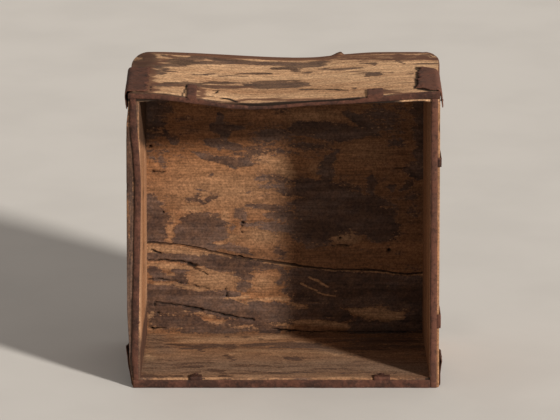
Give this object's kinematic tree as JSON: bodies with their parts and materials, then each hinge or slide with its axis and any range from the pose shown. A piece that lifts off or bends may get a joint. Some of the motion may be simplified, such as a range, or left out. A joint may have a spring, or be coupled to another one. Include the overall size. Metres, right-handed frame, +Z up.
{
  "type": "grain measure",
  "caption": "Square wooden grain measure with an iron-bound mouth and iron corner plates, standing on one wall with its mouth to the front.",
  "frame": {"origin": "middle of the underside of the box round the whole measure, as it stands on its lower wall", "axes": "+X to the right and +Z up as seen from the mouth, +Y from the mouth to the base board"},
  "size_m": [0.3394, 0.166, 0.3302],
  "materials": {
    "wood": "bare, worn and stained",
    "iron": "rusted forged sheet"
  },
  "bodies": {
    "root": {"wall_top": "wood", "wall_bottom": "wood", "wall_left": "wood", "wall_right": "wood", "base_board_upper": "wood", "base_board_lower": "wood", "rim_strip_top": "iron", "rim_strip_bottom": "iron", "rim_strip_left": "iron", "rim_strip_right": "iron", "corner_plate_top_left": "iron", "corner_plate_top_right": "iron", "corner_plate_bottom_left": "iron", "corner_plate_bottom_right": "iron", "joint_nail_top_left_1": "iron", "joint_nail_top_left_2": "iron", "joint_nail_top_left_3": "iron", "joint_nail_top_right_1": "iron", "joint_nail_top_right_2": "iron", "joint_nail_top_right_3": "iron", "joint_nail_bottom_left_1": "iron", "joint_nail_bottom_left_2": "iron", "joint_nail_bottom_left_3": "iron", "joint_nail_bottom_right_1": "iron", "joint_nail_bottom_right_2": "iron", "joint_nail_bottom_right_3": "iron", "base_nail_top_1": "iron", "base_nail_top_2": "iron", "base_nail_top_3": "iron", "base_nail_bottom_1": "iron", "base_nail_bottom_2": "iron", "base_nail_bottom_3": "iron", "base_nail_left_1": "iron", "base_nail_left_2": "iron", "base_nail_right_1": "iron", "base_nail_right_2": "iron", "rim_nail_top_1": "iron", "rim_nail_top_2": "iron", "rim_nail_bottom_1": "iron", "rim_nail_bottom_2": "iron", "rim_nail_left_1": "iron", "rim_nail_left_2": "iron", "rim_nail_right_1": "iron", "rim_nail_right_2": "iron", "plate_nail_top_left_1": "iron", "plate_nail_top_left_2": "iron", "plate_nail_top_left_3": "iron", "plate_nail_top_left_4": "iron", "plate_nail_top_left_5": "iron", "plate_nail_top_right_1": "iron", "plate_nail_top_right_2": "iron", "plate_nail_top_right_3": "iron", "plate_nail_top_right_4": "iron", "plate_nail_top_right_5": "iron", "plate_nail_bottom_left_1": "iron", "plate_nail_bottom_left_2": "iron", "plate_nail_bottom_right_1": "iron", "plate_nail_bottom_right_2": "iron"}
  },
  "joints": []
}
